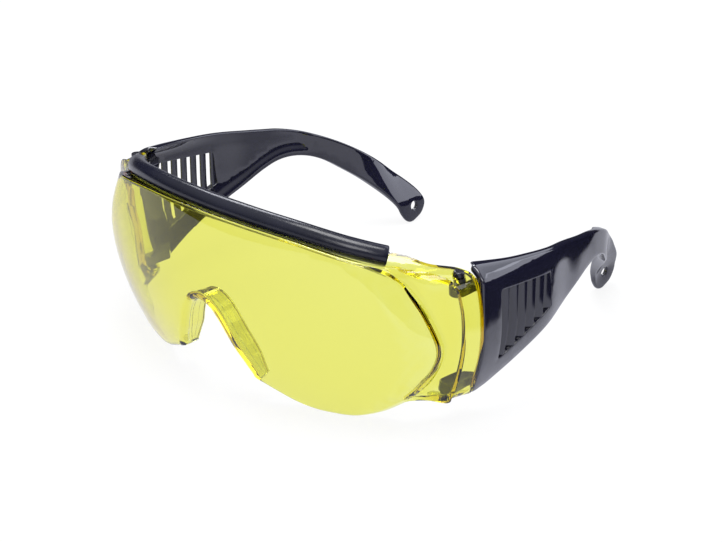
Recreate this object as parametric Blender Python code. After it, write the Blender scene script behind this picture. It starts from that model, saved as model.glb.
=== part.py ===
"""Fit-over safety glasses: one-piece lens, brow guard, two folding temples on hinge pins.

Metres. +Z up, the wearer looks along -Y, +X is the wearer's left.
The origin is on the table, under the middle of the bounding box.
"""
from math import cos, pi, radians, sin

import bmesh
import bpy
from mathutils import Matrix, Vector
from mathutils.geometry import delaunay_2d_cdt

MM = 0.001

# Driving dimensions
LENS_HALF_WIDTH = 70.1 * MM      # middle to the end of the front panel
LENS_HEIGHT = 58.8 * MM          # table to the top edge of the front panel
LENS_BOW = 24.6 * MM             # how far the middle stands ahead of the panel's ends
LENS_WALL = 2.0 * MM
VERTICAL_RADIUS = 74.0 * MM     # curve of the front panel from top to bottom
BELLY_HEIGHT = 38.0 * MM         # height where the front panel stands furthest forward
HINGE_SETBACK = 12.0 * MM        # zero line of the wing tables behind the bow of the panel's ends
END_TURN = 7.0 * MM              # how far the panel turns back close to its rim
WING_STEP = 2.4 * MM             # rim that runs straight back before the wing spreads
SHELF_DEPTH = 9.5 * MM
SHELF_DROP = 2.1 * MM             # shelf below the top edge, which stands up as a lip
SHELF_RISE = 1.5 * MM             # rear edge of the shelf above its floor
NOSE_FLANGE_DEPTH = 9.0 * MM

BAR_DIAMETER = 6.2 * MM
BAR_HALF_LENGTH = 54.2 * MM
BAR_SETBACK = 5.4 * MM           # bar's middle line behind the top front edge
BAR_SEAT = 0.1 * MM              # depth of the flat on the bar's underside
BAR_END_SETBACK = 2.3 * MM       # further back at the bar's ends

HINGE_SPLAY = radians(5.5)       # hinge axes lean outwards at the top
HINGE_HALF_SPAN = 70.2 * MM      # middle to the hinge axis at the upper lug
HINGE_BACK = 1.6 * MM            # hinge axis behind the zero line of the wing tables
PIN_DIAMETER = 3.4 * MM
TURNING_CLEARANCE = 0.3 * MM     # all round a pin in its lug
SEAT_CLEARANCE = 0.03 * MM       # pieces that sit on each other
PIN_HEIGHT = 6.0 * MM
KNUCKLE_HEIGHT = 3.2 * MM
KNUCKLE_RADIUS = 2.25 * MM
LUG_GAP = 0.45 * MM              # knuckle to lug, along the hinge axis
RELIEF_INSET = 0.1 * MM          # temple corner cut back to here, inboard of the hinge axis
RELIEF_DEPTH = 2.3 * MM          # how far below the upper lug's mark that cut starts

TEMPLE_LENGTH = 108.45 * MM       # front edge of the temple to the tip, along Y
TEMPLE_GAP = 0.5 * MM            # lens rear edge to temple front edge
SHIELD_WALL = 2.2 * MM
ARM_WALL = 3.4 * MM
SHOULDER_DROP = 4.2 * MM         # height of the rolled-in top edge of the shield
SHOULDER_ROLL = 5.0 * MM         # how far the top edge of the shield rolls in

SLAT_COUNT = 6
SLAT_WALL = 1.1 * MM
SLAT_ANGLE = radians(45)
TIP_HOLE_DIAMETER = 3.0 * MM
PANEL_GRID = 5.0 * MM            # mesh spacing of the front panel

# Shape tables, as fractions of the driving dimensions
# Front panel, wearer's left half: x over half width, z over height
FRONT_OUTLINE = (
    (0.000, 1.000), (0.200, 0.995), (0.428, 0.974), (0.628, 0.935), (0.742, 0.903),
    (0.816, 0.872), (0.864, 0.816), (0.907, 0.730), (0.950, 0.633), (0.980, 0.524),
    (0.990, 0.425), (0.976, 0.333), (0.936, 0.236), (0.870, 0.145), (0.813, 0.087),
    (0.746, 0.037), (0.649, 0.000), (0.563, -0.006), (0.479, 0.000), (0.402, 0.026),
    (0.328, 0.068), (0.268, 0.102), (0.227, 0.122), (0.208, 0.160), (0.185, 0.221),
    (0.157, 0.282), (0.127, 0.359), (0.094, 0.435), (0.054, 0.493), (0.000, 0.515),
)
SHELF_END = 3                    # outline points 0 to this one carry the plain shelf
WING_END = 13                    # last outline point with a wing behind it
NOSE_START = 22                  # first outline point with the nose flange
# Wing ridge and rear edge from the outline point after SHELF_END to WING_END: x over half width,
# y behind the hinge axis in millimetres, z over height
WING_RIDGE = (
    (0.770, -11.5, 0.866), (0.862, -8.0, 0.850), (0.964, -4.2, 0.837), (1.044, -2.6, 0.803),
    (1.074, -1.4, 0.672), (1.078, -0.7, 0.527), (1.070, -0.4, 0.408), (1.046, -0.6, 0.272),
    (1.006, -1.8, 0.139), (0.908, -4.0, 0.121),
)
WING_REAR = (
    (0.787, -5.6, 0.891), (0.884, -2.2, 0.861), (0.976, 4.2, 0.835), (1.056, 5.0, 0.803),
    (1.086, 5.6, 0.672), (1.091, 6.2, 0.527), (1.083, 6.5, 0.405), (1.058, 6.4, 0.264),
    (1.016, 6.9, 0.136), (0.926, 3.9, 0.114),
)
# Temple seen from above: outer face, y over temple length, x over half width
TEMPLE_PLAN = (
    (0.000, 1.086), (0.067, 1.087), (0.182, 1.084), (0.296, 1.073), (0.400, 1.037),
    (0.477, 1.017), (0.552, 0.990), (0.620, 0.953), (0.695, 0.904), (0.772, 0.832),
    (0.844, 0.756), (0.898, 0.699), (0.953, 0.645), (1.010, 0.591),
)
# Temple seen from the side: y over temple length, z over height, round from the lower front
TEMPLE_OUTLINE = (
    (0.004, 0.141), (-0.001, 0.264), (-0.001, 0.400), (-0.004, 0.527), (-0.009, 0.663),
    (-0.011, 0.770), (-0.006, 0.824), (0.007, 0.841), (0.054, 0.832), (0.134, 0.811),
    (0.239, 0.787), (0.313, 0.769), (0.379, 0.752), (0.479, 0.721), (0.543, 0.701),
    (0.617, 0.662), (0.691, 0.605), (0.746, 0.551), (0.802, 0.483), (0.857, 0.405),
    (0.904, 0.327), (0.949, 0.252), (0.980, 0.189), (0.998, 0.131), (1.000, 0.085),
    (0.984, 0.034), (0.958, 0.007), (0.934, -0.005), (0.911, 0.015), (0.893, 0.060),
    (0.881, 0.111), (0.859, 0.173), (0.827, 0.243), (0.787, 0.318), (0.746, 0.379),
    (0.691, 0.452), (0.635, 0.500), (0.580, 0.519), (0.525, 0.510), (0.469, 0.474),
    (0.396, 0.415), (0.322, 0.355), (0.248, 0.298), (0.174, 0.241), (0.101, 0.185),
    (0.048, 0.146),
)
# Louvre window: y over temple length, z over height
WINDOW = ((0.065, 0.696), (0.290, 0.655), (0.302, 0.457), (0.078, 0.293))
TIP_HOLE_AT = (0.946, 0.100)
# Temple near its tip: z over height, outer face x over half width
TIP_PLAN = (
    (0.000, 0.628), (0.068, 0.628), (0.119, 0.633), (0.162, 0.650), (0.221, 0.680),
    (0.323, 0.732), (0.442, 0.806), (0.561, 0.877), (0.697, 0.956),
)
# Share of the shoulder roll, by y over temple length
SHOULDER_PLAN = (
    (-0.020, 1.000), (0.030, 0.840), (0.135, 0.480), (0.240, 0.300), (0.380, 0.140),
    (0.500, 0.080), (0.620, 0.040), (0.750, 0.000),
)

# Colours: lens, brow guard, temples, pins
LENS_COLOUR = (0.80, 0.76, 0.12, 0.4)
BAR_COLOUR = (0.008, 0.010, 0.022, 1.0)
TEMPLE_COLOUR = (0.016, 0.017, 0.030, 1.0)
PIN_COLOUR = (0.012, 0.012, 0.020, 1.0)

# Derived positions
FRONT_Y = -(LENS_BOW + HINGE_SETBACK)
TEMPLE_FRONT_Y = 6.6 * MM + TEMPLE_GAP
CENTRE_Y = (FRONT_Y + TEMPLE_FRONT_Y + TEMPLE_LENGTH) / 2
UPPER_LUG_Z = 0.825 * LENS_HEIGHT
LOWER_LUG_Z = 0.108 * LENS_HEIGHT

for item in list(bpy.data.objects):
    bpy.data.objects.remove(item, do_unlink=True)


def new_collection(name):
    made = bpy.data.collections.new(name)
    bpy.context.scene.collection.children.link(made)
    return made


PARTS = new_collection("safety_glasses")
CUTTERS = new_collection("cutters")


def material(name, colour, roughness, transmission=0.0):
    made = bpy.data.materials.new(name)
    made.use_nodes = True
    shader = made.node_tree.nodes["Principled BSDF"]
    shader.inputs["Base Color"].default_value = colour
    shader.inputs["Roughness"].default_value = roughness
    shader.inputs["Transmission Weight"].default_value = transmission
    made.diffuse_color = colour
    return made


def smooth(points, place):
    """Point on a smooth line through the points, which mirror at x = 0 past both ends."""
    last = len(points) - 1
    place = min(max(place, 0.0), last)
    k = min(int(place), last - 1)
    t = place - k
    b = Vector(points[k])
    c = Vector(points[k + 1])
    a = Vector(points[k - 1]) if k > 0 else Vector((-c.x, *c[1:]))
    d = Vector(points[k + 2]) if k + 2 <= last else Vector((-b.x, *b[1:]))
    bend = (a * 2 - b * 5 + c * 4 - d) * t * t + (b * 3 - a - c * 3 + d) * t * t * t
    return (b * 2 + (c - a) * t + bend) * 0.5


def along(table, y):
    """Second value of a table at y, on a smooth line through its rows."""
    k = 0
    while k < len(table) - 2 and y > table[k + 1][0]:
        k += 1
    y0, v0 = table[k]
    y1, v1 = table[k + 1]
    before = table[k - 1] if k > 0 else (2 * y0 - y1, 2 * v0 - v1)
    after = table[k + 2] if k + 2 < len(table) else (2 * y1 - y0, 2 * v1 - v0)
    s0 = (v1 - before[1]) / (y1 - before[0])
    s1 = (after[1] - v0) / (after[0] - y0)
    t = (y - y0) / (y1 - y0)
    h = y1 - y0
    return (v0 * (1 + 2 * t) * (1 - t) ** 2 + s0 * h * t * (1 - t) ** 2
            + v1 * t * t * (3 - 2 * t) + s1 * h * t * t * (t - 1))


def fade(value, start, end):
    t = min(max((value - start) / (end - start), 0.0), 1.0)
    return t * t * (3 - 2 * t)


def flat_fill(name, outline, thickness=0.0):
    """Closed outline of (u, v) points filled as a mesh in the XY plane."""
    curve = bpy.data.curves.new(name, "CURVE")
    curve.dimensions = "2D"
    curve.fill_mode = "BOTH"
    curve.extrude = thickness / 2
    line = curve.splines.new("POLY")
    line.points.add(len(outline) - 1)
    for point, (u, v) in zip(line.points, outline):
        point.co = (u, v, 0.0, 1.0)
    line.use_cyclic_u = True
    holder = bpy.data.objects.new(name, curve)
    bpy.context.scene.collection.objects.link(holder)
    graph = bpy.context.evaluated_depsgraph_get()
    mesh = bpy.data.meshes.new_from_object(holder.evaluated_get(graph))
    bpy.data.objects.remove(holder, do_unlink=True)
    work = bmesh.new()
    work.from_mesh(mesh)
    bmesh.ops.remove_doubles(work, verts=work.verts[:], dist=0.000001)
    bmesh.ops.recalc_face_normals(work, faces=work.faces[:])
    return work


def slice_up(work, axis, places):
    """Cut a flat mesh along lines so that it can be bent."""
    normal = [0.0, 0.0, 0.0]
    normal[axis] = 1.0
    for place in places:
        at = [0.0, 0.0, 0.0]
        at[axis] = place
        every = work.verts[:] + work.edges[:] + work.faces[:]
        bmesh.ops.bisect_plane(work, geom=every, dist=0.00002, plane_co=at, plane_no=normal)


def add_object(name, work, collection, where=(0.0, 0.0, 0.0), paint=None):
    mesh = bpy.data.meshes.new(name)
    work.to_mesh(mesh)
    work.free()
    made = bpy.data.objects.new(name, mesh)
    made.location = where
    collection.objects.link(made)
    if paint is not None:
        mesh.materials.append(paint)
    if collection is CUTTERS:
        made.hide_render = True
        made.display_type = "WIRE"
    return made


def combine(target, tool, operation):
    change = target.modifiers.new(tool.name, "BOOLEAN")
    change.object = tool
    change.operation = operation
    change.solver = "EXACT"


def shifted(x, y, z):
    """Hinge-frame position to library position."""
    return Vector((x, y - CENTRE_Y, z))


# The lens
def front_y(x, z):
    """Front face of the lens: bowed both ways, and turned back close to its rim."""
    bow = LENS_BOW * (x / LENS_HALF_WIDTH) ** 2
    lean = (z - BELLY_HEIGHT) ** 2 / (2 * VERTICAL_RADIUS)
    high = z / LENS_HEIGHT - 0.425
    high /= 0.782 if high > 0 else 0.68
    reach = ((x / (0.99 * LENS_HALF_WIDTH)) ** 2 + high * high) ** 0.5
    turn = END_TURN * max(0.0, (reach - 0.905) / 0.095) ** 2
    return FRONT_Y + bow + lean + turn * (1.0 - 0.7 * fade(z / LENS_HEIGHT, 0.68, 0.9))


def panel_wall(x, z):
    """Wall of the front panel along Y, so that the wall square to the face is right."""
    small = 0.2 * MM
    across = (front_y(x + small, z) - front_y(x - small, z)) / (2 * small)
    down = (front_y(x, z + small) - front_y(x, z - small)) / (2 * small)
    return LENS_WALL * min(2.0, (1.0 + across * across + down * down) ** 0.5)


def outline_point(place):
    u, v = smooth(FRONT_OUTLINE, place)
    return u * LENS_HALF_WIDTH, v * LENS_HEIGHT


def row_tables():
    """Ridge and rear rows behind every outline point."""
    ridge = []
    rear = []
    for k, (u, v) in enumerate(FRONT_OUTLINE):
        x, z = u * LENS_HALF_WIDTH, v * LENS_HEIGHT
        y = front_y(x, z)
        if SHELF_END < k <= WING_END:
            u, back, v = WING_RIDGE[k - SHELF_END - 1]
            ridge.append((u * LENS_HALF_WIDTH, back * MM, v * LENS_HEIGHT))
            u, back, v = WING_REAR[k - SHELF_END - 1]
            rear.append((u * LENS_HALF_WIDTH, back * MM, v * LENS_HEIGHT))
        elif k <= SHELF_END:
            depth = SHELF_DEPTH * (1.0 + 0.2 * (k / SHELF_END) ** 2)
            ridge.append((x, y + depth * 0.63, z - SHELF_DROP))
            rear.append((x * 1.03, y + depth, z - SHELF_DROP + SHELF_RISE))
        else:
            depth = NOSE_FLANGE_DEPTH * (0.7 + 0.3 * fade(k, NOSE_START, NOSE_START + 3))
            ridge.append((x, y + depth * 0.62, z))
            rear.append((x, y + depth, z))
    return ridge, rear


RIDGE, REAR = row_tables()


def shelf_share(place):
    """1 where the flange is the sunk shelf, 0 on the wings and beyond."""
    return 1.0 - fade(place, SHELF_END + 0.5, SHELF_END + 2.0)


def lens_rows(place):
    """Front edge and the rows behind it at one place of the outline."""
    last = len(FRONT_OUTLINE) - 1
    mirror = 1.0
    if place < 0.0:
        place = -place
        mirror = -1.0
    if place > last:
        place = 2 * last - place
        mirror = -1.0
    x, z = outline_point(place)
    edge = Vector((x, front_y(x, z), z))
    step = edge + Vector((0.0, WING_STEP, 0.0))
    ridge = smooth(RIDGE, place)
    rear = smooth(REAR, place)
    floor = step + Vector((0.0, 0.25 * MM, -SHELF_DROP))
    floor = step.lerp(ridge, 0.5).lerp(floor, shelf_share(place))
    rows = [edge, step, floor, ridge, ridge.lerp(rear, 0.5), rear]
    for row in rows:
        row.x *= mirror
    return rows


def lens_section(place):
    """Run of points across the wall at one place: flange outside, then flange inside."""
    rows = lens_rows(place)
    ahead = lens_rows(place + 0.05)
    behind = lens_rows(place - 0.05)
    inner = []
    for k, spot in enumerate(rows):
        run = ahead[k] - behind[k]
        inwards = Vector((run.z, 0.0, -run.x)).normalized()
        back = LENS_WALL * (0.0, 0.9, 0.8, 0.6, 0.2, 0.0)[k]
        wall = LENS_WALL
        if k < 2:
            wall += SHELF_DROP * shelf_share(abs(place))
            back *= 1.0 - 0.6 * shelf_share(abs(place))
        inner.append(spot + inwards * wall + Vector((0.0, back, 0.0)))
    foot = inner[0]
    inner[0] = Vector((foot.x, front_y(foot.x, foot.z) + panel_wall(foot.x, foot.z), foot.z))
    inner[1].y = max(inner[1].y, inner[0].y + 0.2 * MM)
    section = rows + inner[::-1]
    end = fade(place, WING_END, WING_END + 0.9)
    start = fade(place, NOSE_START - 0.7, NOSE_START + 0.7)
    plain = end * (1.0 - start)
    across = ahead[0] - behind[0]
    inwards = Vector((across.z, 0.0, -across.x)).normalized()
    found = []
    for k, spot in enumerate(section):
        rim = rows[0] + inwards * (0.1 * MM * max(0, k - 5))
        rim.y = front_y(rim.x, rim.z) + panel_wall(rim.x, rim.z) * min(k / 5, 1.0)
        found.append(spot.lerp(rim, plain))
    return found


def inside(spot, loop):
    """Even-odd test of a flat point in a closed loop."""
    hit = False
    for k, a in enumerate(loop):
        b = loop[k - 1]
        if (a.y > spot.y) != (b.y > spot.y):
            if spot.x < (b.x - a.x) * (spot.y - a.y) / (b.y - a.y) + a.x:
                hit = not hit
    return hit


def fill(loop, spacing):
    """Triangles over a closed loop with a grid of points inside, and the loop's numbers."""
    points = list(loop)
    near = (spacing * 0.6) ** 2
    low_x = min(p.x for p in loop)
    low_y = min(p.y for p in loop)
    columns = int((max(p.x for p in loop) - low_x) / spacing) + 1
    rows = int((max(p.y for p in loop) - low_y) / spacing) + 1
    for r in range(rows + 1):
        for c in range(columns + 1):
            spot = Vector((low_x + (c + 0.5 * (r % 2)) * spacing, low_y + r * spacing))
            if inside(spot, loop) and min((spot - p).length_squared for p in loop) > near:
                points.append(spot)
    edges = [(k, (k + 1) % len(loop)) for k in range(len(loop))]
    verts, _, faces, origin, _, _ = delaunay_2d_cdt(points, edges, [], 1, 0.00000001)
    number = {}
    for k, sources in enumerate(origin):
        for source in sources:
            number[source] = k
    kept = []
    for face in faces:
        if inside(sum((verts[n] for n in face), Vector((0.0, 0.0))) / 3, loop):
            kept.append(face)
    return verts, kept, [number[k] for k in range(len(loop))]


def lens_shell():
    """The lens as one closed wall: front panel, flange all round, inside panel."""
    samples = 3
    last = len(FRONT_OUTLINE) - 1
    half = [k / samples for k in range(last * samples + 1)]
    loop = [(p, 1) for p in half] + [(p, -1) for p in half[-2:0:-1]]
    work = bmesh.new()
    rings = []
    for place, side in loop:
        middle = place in (0.0, float(last))
        rings.append([Vector((0.0 if middle else side * s.x, s.y, s.z)) for s in lens_section(place)])
    verts = [[work.verts.new(shifted(*spot)) for spot in ring] for ring in rings]
    count = len(rings[0])
    for k, ring in enumerate(verts):
        after = verts[(k + 1) % len(verts)]
        for m in range(count - 1):
            work.faces.new((ring[m], after[m], after[m + 1]))
            work.faces.new((ring[m], after[m + 1], ring[m + 1]))
    for m in (0, count - 1):
        points, faces, found = fill([Vector((ring[m].x, ring[m].z)) for ring in rings], PANEL_GRID)
        known = {n: verts[k][m] for k, n in enumerate(found)}
        for n, spot in enumerate(points):
            if n not in known:
                y = front_y(*spot) + (panel_wall(*spot) if m else 0.0)
                known[n] = work.verts.new(shifted(spot.x, y, spot.y))
        for face in faces:
            work.faces.new([known[n] for n in face])
    bmesh.ops.recalc_face_normals(work, faces=work.faces[:])
    return work


def build_lens():
    paint = material("lens", LENS_COLOUR, 0.05, 1.0)
    return add_object("lens", lens_shell(), PARTS, paint=paint)


# Hinges
def hinge_frame(side):
    """Hinge axis with local Z up the axis and local Y to the rear."""
    lean = Matrix.Rotation(side * HINGE_SPLAY, 4, "Y")
    at = shifted(side * HINGE_HALF_SPAN, HINGE_BACK, UPPER_LUG_Z)
    return Matrix.Translation(at) @ lean


def on_axis(side, z):
    """Point on a hinge axis at a height."""
    frame = hinge_frame(side)
    up = frame.to_3x3() @ Vector((0.0, 0.0, 1.0))
    return frame.translation + up * ((z - UPPER_LUG_Z) / up.z)


def round_bar(name, side, z_low, z_high, diameter, collection, paint=None):
    """Cylinder along a hinge axis, its origin on the axis."""
    work = bmesh.new()
    bmesh.ops.create_cone(work, cap_ends=True, segments=32, radius1=diameter / 2,
                          radius2=diameter / 2, depth=z_high - z_low)
    made = add_object(name, work, collection, on_axis(side, (z_low + z_high) / 2), paint)
    made.rotation_euler = (0.0, side * HINGE_SPLAY, 0.0)
    return made


UPPER_PIN = (UPPER_LUG_Z - PIN_HEIGHT + 0.9 * MM, UPPER_LUG_Z + 0.9 * MM)
LOWER_PIN = (LOWER_LUG_Z - 0.6 * MM, LOWER_LUG_Z - 0.6 * MM + PIN_HEIGHT)
UPPER_KNUCKLE = (UPPER_LUG_Z - LENS_WALL - LUG_GAP - KNUCKLE_HEIGHT - 0.9 * MM,
                 UPPER_LUG_Z - LENS_WALL - LUG_GAP - 0.9 * MM)
LOWER_KNUCKLE = (LOWER_LUG_Z + LENS_WALL + LUG_GAP + 1.3 * MM,
                 LOWER_LUG_Z + LENS_WALL + LUG_GAP + 1.3 * MM + KNUCKLE_HEIGHT)


# Temples
def temple_x(y, z):
    """Outer face of a temple, x from the middle plane."""
    u = (y - TEMPLE_FRONT_Y) / TEMPLE_LENGTH
    x = along(TEMPLE_PLAN, u) * LENS_HALF_WIDTH
    x += (along(TIP_PLAN, z / LENS_HEIGHT) * LENS_HALF_WIDTH - x) * fade(u, 0.76, 0.93)
    low = max(0.0, 0.527 - z / LENS_HEIGHT)
    x -= 33.0 * MM * low * low * (1.0 - fade(u, 0.36, 0.6))
    rise = max(0.0, z - (top_line(min(u, 0.74)) - SHOULDER_DROP)) / SHOULDER_DROP
    roll = SHOULDER_ROLL * along(SHOULDER_PLAN, min(u, 0.74))
    return x - roll * min(rise, 1.2) ** 1.6


def temple_outline():
    points = list(TEMPLE_OUTLINE)
    ring = points[-2:] + points + points[:3]
    found = []
    for k in range(len(points) * 3):
        u, v = smooth(ring, 2 + k / 3)
        found.append((TEMPLE_FRONT_Y + u * TEMPLE_LENGTH, v * LENS_HEIGHT))
    return found


def temple_wall(y, z):
    """Wall of a temple along X, so that the wall square to the face is right."""
    small = 0.2 * MM
    lean = (temple_x(y + small, z) - temple_x(y - small, z)) / (2 * small)
    tilt = (temple_x(y, z + small) - temple_x(y, z - small)) / (2 * small)
    u = (y - TEMPLE_FRONT_Y) / TEMPLE_LENGTH
    wall = SHIELD_WALL + (ARM_WALL - SHIELD_WALL) * fade(u, 0.33, 0.52)
    return wall * min(1.9, (1.0 + lean * lean + tilt * tilt) ** 0.5)


def top_line(u):
    return along(TEMPLE_OUTLINE[7:18], u) * LENS_HEIGHT


def temple_block(side, pivot):
    """Side outline as a block, cut into strips and bent to the temple's curve."""
    work = flat_fill("temple_side", temple_outline(), 2 * MM)
    stations = [0.04 + 0.08 * k for k in range(8)] + [0.68 + 0.04 * k for k in range(8)]
    slice_up(work, 0, [TEMPLE_FRONT_Y + s * TEMPLE_LENGTH for s in stations])
    slice_up(work, 1, [LENS_HEIGHT * k for k in (0.07, 0.12, 0.17, 0.24, 0.33, 0.42, 0.5)])
    for drop in (1.0, 0.6, 0.3):
        for u0, u1 in ((-0.1, 0.33), (0.33, 0.63)):
            start = Vector((TEMPLE_FRONT_Y + u0 * TEMPLE_LENGTH, top_line(u0) - SHOULDER_DROP * drop, 0.0))
            end = Vector((TEMPLE_FRONT_Y + u1 * TEMPLE_LENGTH, top_line(u1) - SHOULDER_DROP * drop, 0.0))
            run = end - start
            faces = [f for f in work.faces if start.x < f.calc_center_median().x < end.x]
            geom = set(faces)
            for face in faces:
                geom.update(face.edges)
                geom.update(face.verts)
            bmesh.ops.bisect_plane(work, geom=list(geom), dist=0.00002, plane_co=start,
                                   plane_no=(-run.y, run.x, 0.0))
    bmesh.ops.dissolve_degenerate(work, dist=0.00001, edges=work.edges[:])
    bmesh.ops.triangulate(work, faces=work.faces[:])
    for vert in work.verts:
        y, z, depth = vert.co
        x = temple_x(y, z)
        if depth < 0:
            x -= temple_wall(y, z)
        vert.co = shifted(side * x, y, z) - pivot
    bmesh.ops.recalc_face_normals(work, faces=work.faces[:])
    return work


def knuckle(name, side, span):
    """Arm from the hinge axis back to the inside of the temple, square to the axis."""
    r = KNUCKLE_RADIUS
    turns = [radians(180 + 180 * k / 10) for k in range(11)]
    outline = [(r * cos(t), r * sin(t)) for t in turns]
    back = TEMPLE_FRONT_Y - 0.6 * MM
    outer = 1.075 * LENS_HALF_WIDTH - HINGE_HALF_SPAN
    outline += [(r, back - TEMPLE_GAP), (r + 0.3 * MM, back + 0.6 * MM), (outer, back + 1.4 * MM)]
    outline += [(outer, back + 5.5 * MM), (outer - 2.0 * MM, back + 5.5 * MM)]
    outline += [(-r, back + 0.5 * MM)]
    work = flat_fill(name, [(side * u, v) for u, v in outline], span[1] - span[0])
    made = add_object(name, work, CUTTERS, on_axis(side, (span[0] + span[1]) / 2))
    made.rotation_euler = (0.0, side * HINGE_SPLAY, 0.0)
    return made


def window_prism(name, side, grow):
    """Block through the louvre window, across X."""
    corners = [Vector((TEMPLE_FRONT_Y + u * TEMPLE_LENGTH, v * LENS_HEIGHT)) for u, v in WINDOW]
    middle = sum(corners, Vector((0.0, 0.0))) / len(corners)
    corners = [c + (c - middle).normalized() * grow for c in corners]
    work = flat_fill(name, [(c.x, c.y) for c in corners], 30 * MM)
    for vert in work.verts:
        y, z, x = vert.co
        vert.co = shifted(side * (LENS_HALF_WIDTH * 1.06) + x, y, z)
    bmesh.ops.recalc_face_normals(work, faces=work.faces[:])
    return add_object(name, work, CUTTERS)


def slats(name, side):
    """Louvre slats, each a slanted blade within the wall of the shield."""
    first = TEMPLE_FRONT_Y + WINDOW[0][0] * TEMPLE_LENGTH
    last = TEMPLE_FRONT_Y + WINDOW[2][0] * TEMPLE_LENGTH
    pitch = (last - first) / SLAT_COUNT
    work = bmesh.new()
    for k in range(SLAT_COUNT):
        y = first + pitch * (k + 0.62)
        reach = SHIELD_WALL / cos(SLAT_ANGLE)
        rings = []
        steps = 7
        for j in range(steps):
            z = LENS_HEIGHT * (0.26 + 0.54 * j / (steps - 1))
            x = temple_x(y, z) - SHIELD_WALL / 2
            run = Vector((sin(SLAT_ANGLE), cos(SLAT_ANGLE)))
            flat = Vector((cos(SLAT_ANGLE), -sin(SLAT_ANGLE)))
            ring = []
            for a, b in ((-1, -1), (1, -1), (1, 1), (-1, 1)):
                spot = Vector((x, y)) + run * a * reach / 2 + flat * b * SLAT_WALL / 2
                ring.append(work.verts.new(shifted(side * spot.x, spot.y, z)))
            rings.append(ring)
        for low, high in zip(rings, rings[1:]):
            for a in range(4):
                b = (a + 1) % 4
                work.faces.new((low[a], low[b], high[b], high[a]))
        work.faces.new(rings[0])
        work.faces.new(rings[-1])
    bmesh.ops.recalc_face_normals(work, faces=work.faces[:])
    made = add_object(name, work, CUTTERS)
    combine(made, window_prism(name + "_bounds", side, 0.8 * MM), "INTERSECT")
    return made


def table_block():
    work = bmesh.new()
    bmesh.ops.create_cube(work, size=1.0)
    made = add_object("table_cutter", work, CUTTERS, (0.0, 0.0, -0.01))
    made.scale = (0.4, 0.4, 0.02)
    return made


TABLE = table_block()


def fold_relief(name, side):
    """Block that frees the rolled-in top corner from the upper lug when the temple folds."""
    work = bmesh.new()
    bmesh.ops.create_cube(work, size=1.0)
    size = (9.0 * MM, 11.0 * MM, 8.0 * MM)
    at = (-side * (RELIEF_INSET + size[0] / 2), 1.5 * MM, size[2] / 2 - RELIEF_DEPTH)
    for vert in work.verts:
        vert.co = Vector((vert.co.x * size[0] + at[0], vert.co.y * size[1] + at[1],
                          vert.co.z * size[2] + at[2]))
    made = add_object(name, work, CUTTERS, on_axis(side, UPPER_LUG_Z))
    made.rotation_euler = (0.0, side * HINGE_SPLAY, 0.0)
    return made


def build_temple(word, side, paint):
    pivot = on_axis(side, LENS_HEIGHT / 2)
    name = word + "_temple"
    made = add_object(name, temple_block(side, pivot), PARTS, pivot, paint)
    combine(made, knuckle(word + "_upper_knuckle", side, UPPER_KNUCKLE), "UNION")
    combine(made, knuckle(word + "_lower_knuckle", side, LOWER_KNUCKLE), "UNION")
    combine(made, window_prism(word + "_window", side, 0.0), "DIFFERENCE")
    combine(made, fold_relief(word + "_fold_relief", side), "DIFFERENCE")
    combine(made, slats(word + "_slats", side), "UNION")
    hole = PIN_DIAMETER + 2 * SEAT_CLEARANCE
    for level, span in (("upper", UPPER_PIN), ("lower", LOWER_PIN)):
        low = span[0] - (SEAT_CLEARANCE if level == "upper" else 3 * MM)
        high = span[1] + (SEAT_CLEARANCE if level == "lower" else 3 * MM)
        drill = round_bar(word + "_" + level + "_seat", side, low, high, hole, CUTTERS)
        combine(made, drill, "DIFFERENCE")
    y = TEMPLE_FRONT_Y + TIP_HOLE_AT[0] * TEMPLE_LENGTH
    z = TIP_HOLE_AT[1] * LENS_HEIGHT
    drill = bmesh.new()
    bmesh.ops.create_cone(drill, cap_ends=True, segments=24, radius1=TIP_HOLE_DIAMETER / 2,
                          radius2=TIP_HOLE_DIAMETER / 2, depth=20 * MM)
    drill = add_object(word + "_tip_drill", drill, CUTTERS, shifted(side * temple_x(y, z), y, z))
    drill.rotation_euler = (0.0, pi / 2, 0.0)
    combine(made, drill, "DIFFERENCE")
    combine(made, TABLE, "DIFFERENCE")
    return made


def build_pin(word, level, side, paint):
    span = UPPER_PIN if level == "upper" else LOWER_PIN
    name = word + "_" + level + "_hinge_pin"
    return round_bar(name, side, span[0], span[1], PIN_DIAMETER, PARTS, paint)


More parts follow.
